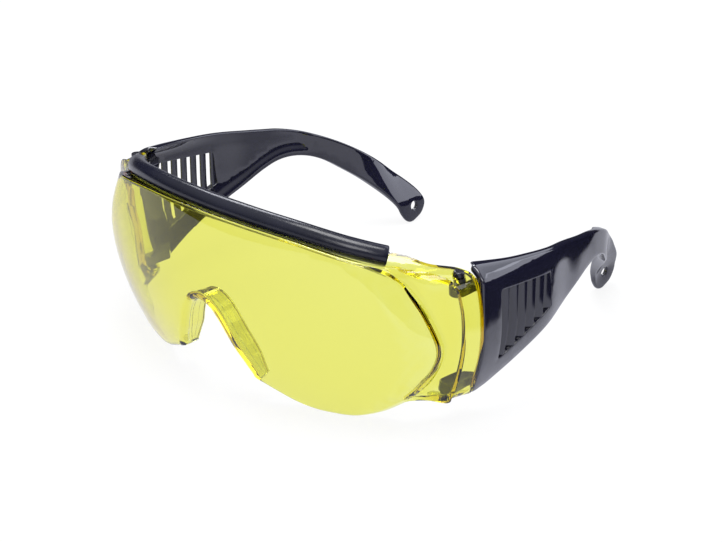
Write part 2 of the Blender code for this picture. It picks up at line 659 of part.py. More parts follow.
# Brow guard
def build_brow_guard(paint):
    """Round bar lying along the shelf, its underside on the shelf."""
    curve = bpy.data.curves.new("brow_line", "CURVE")
    curve.dimensions = "3D"
    curve.bevel_depth = BAR_DIAMETER / 2
    curve.bevel_resolution = 4
    curve.use_fill_caps = True
    line = curve.splines.new("POLY")
    count = 31
    line.points.add(count - 1)
    for k in range(count):
        x = BAR_HALF_LENGTH * (2 * k / (count - 1) - 1)
        place = outline_place(abs(x))
        edge_x, edge_z = outline_point(place)
        back = BAR_SETBACK + BAR_END_SETBACK * (x / BAR_HALF_LENGTH) ** 4
        y = front_y(edge_x, edge_z) + back
        at = shifted(x, y, edge_z - SHELF_DROP + BAR_DIAMETER / 2 - BAR_SEAT)
        line.points[k].co = (at.x, at.y, at.z, 1.0)
    holder = bpy.data.objects.new("brow_line", curve)
    bpy.context.scene.collection.objects.link(holder)
    graph = bpy.context.evaluated_depsgraph_get()
    mesh = bpy.data.meshes.new_from_object(holder.evaluated_get(graph))
    bpy.data.objects.remove(holder, do_unlink=True)
    work = bmesh.new()
    work.from_mesh(mesh)
    bmesh.ops.remove_doubles(work, verts=work.verts[:], dist=0.00001)
    bmesh.ops.recalc_face_normals(work, faces=work.faces[:])
    made = add_object("brow_guard", work, PARTS, paint=paint)
    seat = add_object("shelf_block", lens_shell(), CUTTERS, (0.0, 0.0, 2 * SEAT_CLEARANCE))
    combine(made, seat, "DIFFERENCE")
    return made


def outline_place(x):
    """Place on the top edge of the outline at x."""
    low = 0.0
    high = 6.0
    for _ in range(40):
        middle = (low + high) / 2
        if outline_point(middle)[0] < x:
            low = middle
        else:
            high = middle
    return (low + high) / 2


lens = build_lens()
bar_paint = material("brow_guard", BAR_COLOUR, 0.3)
temple_paint = material("temple", TEMPLE_COLOUR, 0.2)
pin_paint = material("hinge_pin", PIN_COLOUR, 0.3)
build_brow_guard(bar_paint)
for word, side in (("left", 1), ("right", -1)):
    build_temple(word, side, temple_paint)
    for level in ("upper", "lower"):
        build_pin(word, level, side, pin_paint)
        z = UPPER_LUG_Z if level == "upper" else LOWER_LUG_Z
        hole = PIN_DIAMETER + 2 * TURNING_CLEARANCE
        drill = round_bar(word + "_" + level + "_lug_hole", side, z - 4 * MM, z + 4 * MM, hole, CUTTERS)
        combine(lens, drill, "DIFFERENCE")
        span = UPPER_KNUCKLE if level == "upper" else LOWER_KNUCKLE
        room = 2 * (KNUCKLE_RADIUS + SEAT_CLEARANCE)
        turn = round_bar(word + "_" + level + "_knuckle_room", side, span[0] - LUG_GAP / 2,
                         span[1] + LUG_GAP / 2, room, CUTTERS)
        combine(lens, turn, "DIFFERENCE")
combine(lens, TABLE, "DIFFERENCE")
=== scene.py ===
"""Looks of the fit-over safety glasses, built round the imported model."""

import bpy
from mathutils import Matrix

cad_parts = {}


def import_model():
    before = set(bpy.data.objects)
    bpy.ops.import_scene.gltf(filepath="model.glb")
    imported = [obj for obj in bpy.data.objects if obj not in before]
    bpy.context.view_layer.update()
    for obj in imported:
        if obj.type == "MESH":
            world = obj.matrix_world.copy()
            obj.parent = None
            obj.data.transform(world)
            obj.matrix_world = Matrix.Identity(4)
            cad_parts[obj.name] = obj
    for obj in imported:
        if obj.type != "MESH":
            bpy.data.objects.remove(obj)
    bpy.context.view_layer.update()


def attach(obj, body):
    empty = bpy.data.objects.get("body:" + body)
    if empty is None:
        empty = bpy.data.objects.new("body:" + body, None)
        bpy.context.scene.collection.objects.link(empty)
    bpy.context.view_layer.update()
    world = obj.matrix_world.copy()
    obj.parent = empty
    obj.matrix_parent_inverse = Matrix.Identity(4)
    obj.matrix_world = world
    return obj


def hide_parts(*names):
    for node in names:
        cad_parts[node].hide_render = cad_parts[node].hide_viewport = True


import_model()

from math import cos, pi, radians, sin, sqrt

import bmesh
import bpy
from mathutils import Matrix, Vector
from mathutils.geometry import delaunay_2d_cdt

# Sizes are millimetres in the hinge frame: x from the middle plane, y from the wing
# tables' zero line, z from the table. to_row() gives library metres. Outlines and plans
# hold shares of the lens's half width and height and of the temple's length, but the
# middle column of the two wing tables is y.
MM = 0.001
LENS_HALF_WIDTH = 70.1
LENS_HEIGHT = 58.8
LENS_BOW = 24.6
LENS_WALL = 2.0
VERTICAL_RADIUS = 74.0
BELLY_HEIGHT = 38.0
HINGE_SETBACK = 12.0
END_TURN = 7.0
WING_STEP = 2.4
RIM_STEP = 1.7
BAND_STEP = 0.8
SHELF_DEPTH = 9.5
SHELF_DROP = 2.1
SHELF_RISE = 1.5
SHELF_WALL = 1.3
SHELF_SLOPE = ((0.75, -0.05), (1.5, -0.4), (2.8, -1.2), (4.2, -1.9))
NOSE_FLANGE_DEPTH = 9.0
BAR_RADIUS = 3.1
BAR_HALF_LENGTH = 54.2
BAR_SETBACK = 5.4
BAR_SEAT = 0.1
BAR_END_SETBACK = 2.3
HINGE_SPLAY = radians(5.5)
HINGE_HALF_SPAN = 70.2
HINGE_BACK = 1.6
PIN_RADIUS = 1.7
PIN_HEIGHT = 6.0
TURNING_CLEARANCE = 0.3
KNUCKLE_HEIGHT = 3.2
KNUCKLE_RADIUS = 2.25
LUG_GAP = 0.45
PIN_ABOVE_LUG = 0.9
PIN_BELOW_LUG = 0.6
UPPER_KNUCKLE_FOOT = 0.9
UPPER_KNUCKLE_TOP = 1.9
LOWER_KNUCKLE_RISE = 1.3
KNUCKLE_EDGE = 0.4
LUG_DRILL = 8.4
TEMPLE_LENGTH = 108.45
TEMPLE_GAP = 0.5
SHIELD_WALL = 2.2
ARM_WALL = 3.4
ARM_START = 0.615
TIP_THINNING = 1.8
LIP_HEIGHT = 3.2
LIP_FADE = 1.2
LIP_ROWS = (-1.2, -0.7, -0.25, 0.25, 0.7, 1.2)
ARM_ROWS = (-0.001, 0.006, 0.013)
OUTLINE_EDGE = 0.75
WINDOW_EDGE = 0.3
HOLE_EDGE = 0.45
SHOULDER_DROP = 4.2
SHOULDER_ROLL = 5.0
SLAT_COUNT = 6
SLAT_ANGLE = radians(38)
SLAT_RUN = 2.9
SLAT_EDGE = 0.5
SLAT_BACK = 1.9
TIP_HOLE_RADIUS = 1.6
WING_BACK = 6.6
TUCK_IN = 33.0
SLOPE_STEP = 0.2
UPPER_LUG_SHARE = 0.825
LOWER_LUG_SHARE = 0.108
FRONT_Y = -(LENS_BOW + HINGE_SETBACK)
TEMPLE_FRONT_Y = WING_BACK + TEMPLE_GAP
CENTRE_Y = (FRONT_Y + TEMPLE_FRONT_Y + TEMPLE_LENGTH) / 2
UPPER_LUG_Z = UPPER_LUG_SHARE * LENS_HEIGHT
LOWER_LUG_Z = LOWER_LUG_SHARE * LENS_HEIGHT
LENS_GRID = 2.2
TEMPLE_GRID = 2.0
LENS_SHARP = 40
TEMPLE_SHARP = 70
BOX_FRONT = -76.05
BOX_REAR = 76.2
BOX_HEIGHT = 62.78

# Rim of the front face and where the temples bend, as shares
RIM_HALF_WIDTH = 0.99
RIM_MIDDLE = 0.425
RIM_ABOVE = 0.782
RIM_BELOW = 0.68
TURN_START = 0.905
TURN_RUN = 0.095
TURN_EASE = 0.7
TURN_EASE_RUN = (0.68, 0.9)
TIP_TURN = (0.76, 0.93)
TUCK_TOP = 0.527
TUCK_FADE = (0.36, 0.6)
SHOULDER_END = 0.74

FRONT_OUTLINE = (
    (0.000, 1.000), (0.200, 0.995), (0.428, 0.974), (0.628, 0.935), (0.742, 0.903),
    (0.816, 0.872), (0.864, 0.816), (0.907, 0.730), (0.950, 0.633), (0.980, 0.524),
    (0.990, 0.425), (0.976, 0.333), (0.936, 0.236), (0.870, 0.145), (0.813, 0.087),
    (0.746, 0.037), (0.649, 0.000), (0.563, -0.006), (0.479, 0.000), (0.402, 0.026),
    (0.328, 0.068), (0.268, 0.102), (0.227, 0.122), (0.208, 0.160), (0.185, 0.221),
    (0.157, 0.282), (0.127, 0.359), (0.094, 0.435), (0.054, 0.493), (0.000, 0.515),
)
SHELF_END = 3
WING_END = 13
NOSE_START = 22
LAST = len(FRONT_OUTLINE) - 1
WING_RIDGE = (
    (0.770, -11.5, 0.866), (0.862, -8.0, 0.850), (0.964, -4.2, 0.837), (1.044, -2.6, 0.803),
    (1.074, -1.4, 0.672), (1.078, -0.7, 0.527), (1.070, -0.4, 0.408), (1.046, -0.6, 0.272),
    (1.006, -1.8, 0.139), (0.908, -4.0, 0.121),
)
WING_REAR = (
    (0.787, -5.6, 0.891), (0.884, -2.2, 0.861), (0.976, 4.2, 0.835), (1.056, 5.0, 0.803),
    (1.086, 5.6, 0.672), (1.091, 6.2, 0.527), (1.083, 6.5, 0.405), (1.058, 6.4, 0.264),
    (1.016, 6.9, 0.136), (0.926, 3.9, 0.114),
)
TEMPLE_PLAN = (
    (0.000, 1.086), (0.067, 1.087), (0.182, 1.084), (0.296, 1.073), (0.400, 1.037),
    (0.477, 1.017), (0.552, 0.990), (0.620, 0.953), (0.695, 0.904), (0.772, 0.832),
    (0.844, 0.756), (0.898, 0.699), (0.953, 0.645), (1.010, 0.591),
)
TEMPLE_OUTLINE = (
    (0.004, 0.141), (-0.001, 0.264), (-0.001, 0.400), (-0.004, 0.527), (-0.009, 0.663),
    (-0.011, 0.770), (-0.006, 0.824), (0.007, 0.841), (0.054, 0.832), (0.134, 0.811),
    (0.239, 0.787), (0.313, 0.769), (0.379, 0.752), (0.479, 0.721), (0.543, 0.701),
    (0.617, 0.662), (0.691, 0.605), (0.746, 0.551), (0.802, 0.483), (0.857, 0.405),
    (0.904, 0.327), (0.949, 0.252), (0.980, 0.189), (0.998, 0.131), (1.000, 0.085),
    (0.984, 0.034), (0.958, 0.007), (0.934, -0.005), (0.911, 0.015), (0.893, 0.060),
    (0.881, 0.111), (0.859, 0.173), (0.827, 0.243), (0.787, 0.318), (0.746, 0.379),
    (0.691, 0.452), (0.635, 0.500), (0.580, 0.519), (0.525, 0.510), (0.469, 0.474),
    (0.396, 0.415), (0.322, 0.355), (0.248, 0.298), (0.174, 0.241), (0.101, 0.185),
    (0.048, 0.146),
)
WINDOW = ((0.065, 0.696), (0.290, 0.655), (0.302, 0.457), (0.078, 0.293))
TIP_HOLE_AT = (0.946, 0.100)
TIP_PLAN = (
    (0.000, 0.628), (0.068, 0.628), (0.119, 0.633), (0.162, 0.650), (0.221, 0.680),
    (0.323, 0.732), (0.442, 0.806), (0.561, 0.877), (0.697, 0.956),
)
SHOULDER_PLAN = (
    (-0.020, 1.000), (0.030, 0.840), (0.135, 0.480), (0.240, 0.300), (0.380, 0.140),
    (0.500, 0.080), (0.620, 0.040), (0.750, 0.000),
)


def to_row(spot, side=1):
    """Hinge-frame millimetres to library metres, mirrored for side -1."""
    y = min(max(spot[1] - CENTRE_Y, BOX_FRONT), BOX_REAR)
    return Vector((side * spot[0], y, min(max(spot[2], 0.0), BOX_HEIGHT))) * MM


def spline(a, b, c, d, t):
    """Point at share t from b to c, on the smooth line through four points."""
    bend = (a * 2 - b * 5 + c * 4 - d) * t * t + (b * 3 - a - c * 3 + d) * t * t * t
    return (b * 2 + (c - a) * t + bend) * 0.5


def smooth(points, place):
    """Point on a smooth line through the points, which mirror at x = 0 past both ends."""
    last = len(points) - 1
    place = min(max(place, 0.0), last)
    k = min(int(place), last - 1)
    t = place - k
    b = Vector(points[k])
    c = Vector(points[k + 1])
    a = Vector(points[k - 1]) if k > 0 else Vector((-c.x, *c[1:]))
    d = Vector(points[k + 2]) if k + 2 <= last else Vector((-b.x, *b[1:]))
    return spline(a, b, c, d, t)


def ring_smooth(points, samples):
    """Closed smooth line through the points, with samples per point."""
    count = len(points)
    found = []
    for k in range(count):
        a, b, c, d = (Vector(points[(k + j) % count]) for j in (-1, 0, 1, 2))
        found += [spline(a, b, c, d, j / samples) for j in range(samples)]
    return found


def along(table, y):
    """Second value of a table at y, on a smooth line through its rows."""
    k = 0
    while k < len(table) - 2 and y > table[k + 1][0]:
        k += 1
    y0, v0 = table[k]
    y1, v1 = table[k + 1]
    before = table[k - 1] if k > 0 else (2 * y0 - y1, 2 * v0 - v1)
    after = table[k + 2] if k + 2 < len(table) else (2 * y1 - y0, 2 * v1 - v0)
    s0 = (v1 - before[1]) / (y1 - before[0])
    s1 = (after[1] - v0) / (after[0] - y0)
    t = (y - y0) / (y1 - y0)
    h = y1 - y0
    return (v0 * (1 + 2 * t) * (1 - t) ** 2 + s0 * h * t * (1 - t) ** 2
            + v1 * t * t * (3 - 2 * t) + s1 * h * t * t * (t - 1))


def fade(value, start, end):
    t = min(max((value - start) / (end - start), 0.0), 1.0)
    return t * t * (3 - 2 * t)


def inside(spot, loop):
    """Even-odd test of a 2-D point in a closed loop."""
    x, y = spot
    hit = False
    j = len(loop) - 1
    for i in range(len(loop)):
        xi, yi = loop[i]
        xj, yj = loop[j]
        if (yi > y) != (yj > y) and x < (xj - xi) * (y - yi) / (yj - yi) + xi:
            hit = not hit
        j = i
    return hit


def fill(loops, spacing, extra=()):
    """Triangles over the first loop less the other loops, with a grid and extra points inside.

    Gives points, triangles, and for each loop the numbers of its points.
    """
    points = []
    edges = []
    for loop in loops:
        start = len(points)
        points += [Vector(p) for p in loop]
        edges += [(start + k, start + (k + 1) % len(loop)) for k in range(len(loop))]
    rim = list(points)
    xs = [p.x for p in rim]
    ys = [p.y for p in rim]
    near = (spacing * 0.55) ** 2
    for spot in extra:
        if inside(spot, loops[0]) and not any(inside(spot, h) for h in loops[1:]):
            if min((spot - p).length_squared for p in rim) > 0.12:
                points.append(spot)
    fixed = list(points)
    rows = int((max(ys) - min(ys)) / spacing) + 1
    columns = int((max(xs) - min(xs)) / spacing) + 1
    for r in range(rows + 1):
        for c in range(columns + 1):
            shift = 0.5 * (r % 2)
            spot = Vector((min(xs) + (c + shift) * spacing, min(ys) + r * spacing * 0.9))
            if not inside(spot, loops[0]) or any(inside(spot, h) for h in loops[1:]):
                continue
            if min((spot - p).length_squared for p in fixed) > near:
                points.append(spot)
    made = delaunay_2d_cdt(points, edges, [], 1, 0.00001)
    verts, origin = made[0], made[3]
    faces = []
    for face in made[2]:
        middle = sum((verts[n] for n in face), Vector((0.0, 0.0))) / len(face)
        if inside(middle, loops[0]) and not any(inside(middle, h) for h in loops[1:]):
            faces.append(face)
    number = {}
    for k, sources in enumerate(origin):
        for source in sources:
            number[source] = k
    found = []
    start = 0
    for loop in loops:
        found.append([number[start + k] for k in range(len(loop))])
        start += len(loop)
    return verts, faces, found


def loop_normals(loop):
    """Unit normals of a closed 2-D loop, to its left."""
    count = len(loop)
    found = []
    for k in range(count):
        run = loop[(k + 1) % count] - loop[k - 1]
        found.append(Vector((-run.y, run.x)).normalized())
    return found


def area(loop):
    return sum(loop[k - 1].x * loop[k].y - loop[k].x * loop[k - 1].y for k in range(len(loop))) / 2


def rounded(corners, radius, steps):
    """Closed loop through corners with each corner rounded."""
    found = []
    count = len(corners)
    for k in range(count):
        before, at, after = (Vector(corners[(k + j) % count]) for j in (-1, 0, 1))
        one = (before - at).normalized()
        two = (after - at).normalized()
        half = one.angle(two) / 2
        reach = radius / max(sin(half) / cos(half), 0.2)
        start = at + one * reach
        end = at + two * reach
        for j in range(steps + 1):
            t = j / steps
            found.append(start * (1 - t) ** 2 + at * 2 * t * (1 - t) + end * t * t)
    return found


def refined(loop, spacing):
    """Loop with long edges cut up."""
    found = []
    for k in range(len(loop)):
        a, b = loop[k], loop[(k + 1) % len(loop)]
        cuts = max(1, int((b - a).length / spacing + 0.5))
        found += [a.lerp(b, j / cuts) for j in range(cuts)]
    return found


def quarter_round(edge):
    """Inset and depth of each row of a rounded edge, from the face to the side."""
    turns = [pi / 2 * k / 4 for k in range(5)]
    return [(edge * (1 - sin(a)), edge * (1 - cos(a))) for a in turns]


def finish_mesh(name, work, paint, body, replaced=None, angle=50):
    """Turns a bmesh into a smooth-shaded piece that rides on a body."""
    bmesh.ops.remove_doubles(work, verts=work.verts[:], dist=0.000001)
    bmesh.ops.recalc_face_normals(work, faces=work.faces[:])
    mesh = bpy.data.meshes.new(name)
    work.to_mesh(mesh)
    work.free()
    for face in mesh.polygons:
        face.use_smooth = True
    mesh.set_sharp_from_angle(angle=radians(angle))
    made = bpy.data.objects.new(name, mesh)
    bpy.context.scene.collection.objects.link(made)
    mesh.materials.append(paint)
    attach(made, body)
    if replaced:
        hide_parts(replaced)
    return made


def skin(work, rings, closed=True):
    """Quads between neighbouring rings of vertices."""
    for low, high in zip(rings, rings[1:]):
        count = len(low)
        for k in range(count if closed else count - 1):
            j = (k + 1) % count
            work.faces.new((low[k], low[j], high[j], high[k]))


def cover(work, faces, known):
    """Faces between known vertices, but none twice and none with a corner twice."""
    for face in faces:
        corners = [known[n] for n in face]
        if len(set(corners)) == len(corners) and work.faces.get(corners) is None:
            work.faces.new(corners)


# Materials
LENS_TINT = (0.85, 0.92, 0.74, 1.0)
LENS_ABSORBS = (0.96, 0.918, 0.02, 1.0)
LENS_DENSITY = 760.0
LENS_IOR = 1.586
PLASTIC_IOR = 1.55
RUBBER_IOR = 1.47
TEMPLE_DARK = (0.006, 0.006, 0.016, 1.0)
TEMPLE_LIGHT = (0.009, 0.009, 0.023, 1.0)
PIN_DARK = (0.006, 0.006, 0.012, 1.0)
PIN_LIGHT = (0.010, 0.010, 0.018, 1.0)
BAR_DARK = (0.004, 0.005, 0.013, 1.0)
BAR_LIGHT = (0.008, 0.009, 0.021, 1.0)


def nodes_of(name):
    made = bpy.data.materials.new(name)
    made.use_nodes = True
    tree = made.node_tree
    return made, tree, tree.nodes["Principled BSDF"]


def add(tree, kind, **values):
    node = tree.nodes.new(kind)
    for key, value in values.items():
        if key in node.inputs:
            node.inputs[key].default_value = value
        else:
            setattr(node, key, value)
    return node


def object_place(tree):
    return tree.nodes.new("ShaderNodeTexCoord").outputs["Object"]


def noise(tree, place, scale, detail=3.0, roughness=0.5):
    node = tree.nodes.new("ShaderNodeTexNoise")
    node.inputs["Scale"].default_value = scale
    node.inputs["Detail"].default_value = detail
    node.inputs["Roughness"].default_value = roughness
    tree.links.new(place, node.inputs["Vector"])
    return node.outputs["Fac"]


def spread(tree, value, low, high, start=0.3, end=0.7):
    node = tree.nodes.new("ShaderNodeMapRange")
    node.inputs["From Min"].default_value = start
    node.inputs["From Max"].default_value = end
    node.inputs["To Min"].default_value = low
    node.inputs["To Max"].default_value = high
    tree.links.new(value, node.inputs["Value"])
    return node.outputs["Result"]


def bump(tree, height, strength, distance):
    node = tree.nodes.new("ShaderNodeBump")
    node.inputs["Strength"].default_value = strength
    node.inputs["Distance"].default_value = distance
    tree.links.new(height, node.inputs["Height"])
    return node.outputs["Normal"]


def mixed(tree, value, first, second):
    node = tree.nodes.new("ShaderNodeMix")
    node.data_type = "RGBA"
    node.inputs[6].default_value = first
    node.inputs[7].default_value = second
    tree.links.new(value, node.inputs[0])
    return node.outputs[2]


def lens_paint():
    made, tree, shader = nodes_of("lens_yellow")
    place = object_place(tree)
    shader.inputs["Base Color"].default_value = LENS_TINT
    shader.inputs["Transmission Weight"].default_value = 1.0
    shader.inputs["IOR"].default_value = LENS_IOR
    haze = noise(tree, place, 60.0, 4.0)
    tree.links.new(spread(tree, haze, 0.0, 0.03), shader.inputs["Roughness"])
    volume = tree.nodes.new("ShaderNodeVolumeAbsorption")
    volume.inputs["Color"].default_value = LENS_ABSORBS
    volume.inputs["Density"].default_value = LENS_DENSITY
    tree.links.new(volume.outputs["Volume"], tree.nodes["Material Output"].inputs["Volume"])
    return made


def plastic_paint(name, dark, light, low, high, coat):
    made, tree, shader = nodes_of(name)
    place = object_place(tree)
    flow = noise(tree, place, 45.0, 4.0)
    tint = mixed(tree, spread(tree, flow, 0.0, 1.0), dark, light)
    tree.links.new(tint, shader.inputs["Base Color"])
    fine = noise(tree, place, 900.0, 2.0)
    tree.links.new(spread(tree, fine, low, high), shader.inputs["Roughness"])
    peel = noise(tree, place, 260.0, 1.0)
    tree.links.new(bump(tree, peel, 0.03, 0.0004), shader.inputs["Normal"])
    shader.inputs["IOR"].default_value = PLASTIC_IOR
    shader.inputs["Coat Weight"].default_value = coat
    shader.inputs["Coat Roughness"].default_value = 0.04
    return made


def rubber_paint():
    made, tree, shader = nodes_of("brow_rubber")
    place = object_place(tree)
    cloud = noise(tree, place, 70.0, 4.0)
    tint = mixed(tree, spread(tree, cloud, 0.0, 1.0), BAR_DARK, BAR_LIGHT)
    tree.links.new(tint, shader.inputs["Base Color"])
    worn = spread(tree, noise(tree, place, 500.0, 3.0), 0.18, 0.28)
    tree.links.new(worn, shader.inputs["Roughness"])
    grain = noise(tree, place, 2600.0, 2.0)
    tree.links.new(bump(tree, grain, 0.06, 0.0001), shader.inputs["Normal"])
    shader.inputs["IOR"].default_value = RUBBER_IOR
    return made


LENS_PAINT = lens_paint()
TEMPLE_PAINT = plastic_paint("temple_navy", TEMPLE_DARK, TEMPLE_LIGHT, 0.05, 0.11, 0.6)
PIN_PAINT = plastic_paint("pin_navy", PIN_DARK, PIN_LIGHT, 0.18, 0.3, 0.0)
BAR_PAINT = rubber_paint()


# The lens
def front_y(x, z):
    """Front face of the lens: bowed both ways, and turned back close to its rim."""
    bow = LENS_BOW * (x / LENS_HALF_WIDTH) ** 2
    lean = (z - BELLY_HEIGHT) ** 2 / (2 * VERTICAL_RADIUS)
    high = z / LENS_HEIGHT - RIM_MIDDLE
    high /= RIM_ABOVE if high > 0 else RIM_BELOW
    reach = ((x / (RIM_HALF_WIDTH * LENS_HALF_WIDTH)) ** 2 + high * high) ** 0.5
    turn = END_TURN * max(0.0, (reach - TURN_START) / TURN_RUN) ** 2
    return FRONT_Y + bow + lean + turn * (1.0 - TURN_EASE * fade(z / LENS_HEIGHT, *TURN_EASE_RUN))


def front_slopes(x, z):
    """Slopes of the front face, across and up."""
    step = SLOPE_STEP
    across = (front_y(x + step, z) - front_y(x - step, z)) / (2 * step)
    up = (front_y(x, z + step) - front_y(x, z - step)) / (2 * step)
    return across, up


def panel_wall(x, z):
    """Wall of the front panel along Y, so that the wall square to the face is right."""
    across, up = front_slopes(x, z)
    return LENS_WALL * min(2.0, (1.0 + across * across + up * up) ** 0.5)


def row_tables():
    ridge = []
    rear = []
    for k, (u, v) in enumerate(FRONT_OUTLINE):
        x, z = u * LENS_HALF_WIDTH, v * LENS_HEIGHT
        y = front_y(x, z)
        if SHELF_END < k <= WING_END:
            u, back, v = WING_RIDGE[k - SHELF_END - 1]
            ridge.append((u * LENS_HALF_WIDTH, back, v * LENS_HEIGHT))
            u, back, v = WING_REAR[k - SHELF_END - 1]
            rear.append((u * LENS_HALF_WIDTH, back, v * LENS_HEIGHT))
        elif k <= SHELF_END:
            depth = SHELF_DEPTH * (1.0 + 0.2 * (k / SHELF_END) ** 2)
            ridge.append((x, y + depth * 0.63, z - SHELF_DROP))
            rear.append((x * 1.03, y + depth, z - SHELF_DROP + SHELF_RISE))
        else:
            depth = NOSE_FLANGE_DEPTH * (0.7 + 0.3 * fade(k, NOSE_START, NOSE_START + 3))
            ridge.append((x, y + depth * 0.62, z))
            rear.append((x, y + depth, z))
    return ridge, rear


RIDGE, REAR = row_tables()


def panel_inwards(x, z):
    """Unit vector into the lens, square to the front face."""
    across, up = front_slopes(x, z)
    return Vector((-across, 1.0, -up)).normalized()


def shelf_share(place):
    """1 where the flange is the sunk shelf, 0 on the wings and beyond."""
    return 1.0 - fade(place, SHELF_END + 0.5, SHELF_END + 2.0)


def wing_share(place):
    """1 on the wings, 0 elsewhere."""
    start = fade(place, SHELF_END + 1.0, SHELF_END + 3.0)
    return start * (1.0 - fade(place, WING_END - 0.8, WING_END + 0.1))


def lens_rows(place):
    """Front edge, rim, ridge and rear of the flange at one place of the outline."""
    mirror = 1.0
    if place < 0.0:
        place, mirror = -place, -1.0
    if place > LAST:
        place, mirror = 2 * LAST - place, -1.0
    u, v = smooth(FRONT_OUTLINE, place)
    x, z = u * LENS_HALF_WIDTH, v * LENS_HEIGHT
    edge = Vector((x, front_y(x, z), z))
    back = Vector((0.0, WING_STEP, 0.0)).lerp(panel_inwards(x, z) * RIM_STEP, wing_share(place))
    rows = [edge, edge + back, smooth(RIDGE, place), smooth(REAR, place)]
    for row in rows:
        row.x *= mirror
    return rows


def lens_section(place):
    """Closed run of points across the lens wall at one place: front face, flange, inside face."""
    rows = lens_rows(place)
    ahead = lens_rows(place + 0.04)
    behind = lens_rows(place - 0.04)
    inwards = []
    for a, b in zip(ahead, behind):
        run = a - b
        inwards.append(Vector((run.z, 0.0, -run.x)).normalized())
    edge, step, ridge, rear = rows
    nose = fade(place, NOSE_START - 1.0, NOSE_START + 1.0)
    shelf = shelf_share(abs(place))
    wing = wing_share(place)
    bend = 0.5 + 1.6 * nose
    inner_bend = 0.5 + 0.6 * nose
    past_wing = fade(place, WING_END, WING_END + 0.55)
    flange = 1.0 - past_wing * (1.0 - fade(place, NOSE_START - 0.45, NOSE_START + 0.05))
    wall = LENS_WALL + (SHELF_WALL - LENS_WALL) * shelf

    def on_front(inset, back):
        spot = edge + inwards[0] * inset
        return Vector((spot.x, front_y(spot.x, spot.z) + back, spot.z))

    outer = [on_front(inset, depth) for inset, depth in quarter_round(bend)]
    inner = []
    for inset, depth in quarter_round(inner_bend):
        spot = on_front(wall + inset, depth)
        spot.y += panel_wall(spot.x, spot.z)
        inner.append(spot)
    corner = outer[-1].lerp(step, 0.7) if nose < 0.5 else outer[-1] + Vector((0.0, 0.6, 0.0))
    band = inwards[2] * (BAND_STEP * wing)
    # Each step of the path: its place, the row whose inward direction it takes, and how far
    # its inside point lies behind it, in walls
    path = [(corner, 0, 0.9), (step.lerp(ridge, 0.03), 1, 0.85), (step.lerp(ridge, 0.3), 1, 0.8),
            (step.lerp(ridge, 0.6), 2, 0.8), (step.lerp(ridge, 0.97), 2, 0.7),
            (ridge.lerp(rear, 0.05) + band, 2, 0.5), (ridge.lerp(rear, 0.3) + band, 2, 0.2),
            (ridge.lerp(rear, 0.7) + band * 0.7, 3, 0.05),
            (ridge.lerp(rear, 0.95) + band * 0.4, 3, 0.0)]
    sunk = [edge + Vector((0.0, y, z)) for y, z in SHELF_SLOPE]
    for k, (spot, row, back) in enumerate(path):
        if k < len(sunk):
            spot = spot.lerp(sunk[k], shelf)
        outer.append(spot)
        inner.append(spot + inwards[row] * wall + Vector((0.0, back * wall, 0.0)))
    rim = [rear + inwards[3] * (LENS_WALL * t) for t in (0.12, 0.35, 0.65, 0.88)]
    found = outer + rim + inner[::-1]
    result = []
    for k, spot in enumerate(found):
        a = pi / 2 * min(k / (len(outer) - 1) - 1.0, 0.0)
        if k >= len(outer):
            a = pi / 2 * min((k - len(outer) + 1) / len(rim), 1.0)
        inset = LENS_WALL / 2 * (1 - cos(a)) + 0.05 * max(0, k - len(outer) - len(rim))
        plain = on_front(inset, 0.0)
        plain.y += panel_wall(plain.x, plain.z) / 2 * (1 + sin(a))
        result.append(plain.lerp(spot, flange))
    return result


def build_lens():
    samples = 6
    half = [k / samples for k in range(LAST * samples + 1)]
    loop = [(p, 1) for p in half] + [(p, -1) for p in half[-2:0:-1]]
    sections = {p: lens_section(p) for p in half}
    work = bmesh.new()
    rings = []
    for place, side in loop:
        spots = []
        for spot in sections[place]:
            if place in (0.0, float(LAST)):
                spot = Vector((0.0, spot.y, spot.z))
            spots.append(Vector((side * spot.x, spot.y, spot.z)))
        rings.append(spots)
    count = len(rings[0])
    verts = [[work.verts.new(to_row(s)) for s in spots] for spots in rings]
    total = len(verts)
    for k in range(total):
        j = (k + 1) % total
        for m in range(count - 1):
            work.faces.new((verts[k][m], verts[j][m], verts[j][m + 1], verts[k][m + 1]))
    for m in (0, count - 1):
        outline = [Vector((spots[m].x, spots[m].z)) for spots in rings]
        points, faces, found = fill([outline], LENS_GRID)
        known = {n: verts[k][m] for k, n in enumerate(found[0])}
        for n, p in enumerate(points):
            if n not in known:
                extra = panel_wall(p.x, p.y) if m else 0.0
                known[n] = work.verts.new(to_row((p.x, front_y(p.x, p.y) + extra, p.y)))
        cover(work, faces, known)
    made = finish_mesh("lens_clear", work, LENS_PAINT, "front", "lens", LENS_SHARP)
    for side in (1, -1):
        for z in (UPPER_LUG_Z, LOWER_LUG_Z):
            drill = bmesh.new()
            radius = (PIN_RADIUS + TURNING_CLEARANCE) * MM
            bmesh.ops.create_cone(drill, cap_ends=True, segments=48, radius1=radius,
                                  radius2=radius, depth=LUG_DRILL * MM)
            drill.transform(hinge_matrix(side, z))
            mesh = bpy.data.meshes.new("drill")
            drill.to_mesh(mesh)
            drill.free()
            tool = bpy.data.objects.new("drill", mesh)
            bpy.context.scene.collection.objects.link(tool)
            cut = made.modifiers.new("hole", "BOOLEAN")
            cut.object = tool
            cut.solver = "EXACT"
            bpy.context.view_layer.update()
            graph = bpy.context.evaluated_depsgraph_get()
            result = bpy.data.meshes.new_from_object(made.evaluated_get(graph))
            made.modifiers.clear()
            made.data = result
            bpy.data.objects.remove(tool, do_unlink=True)
    made.data.set_sharp_from_angle(angle=radians(LENS_SHARP))
    return made


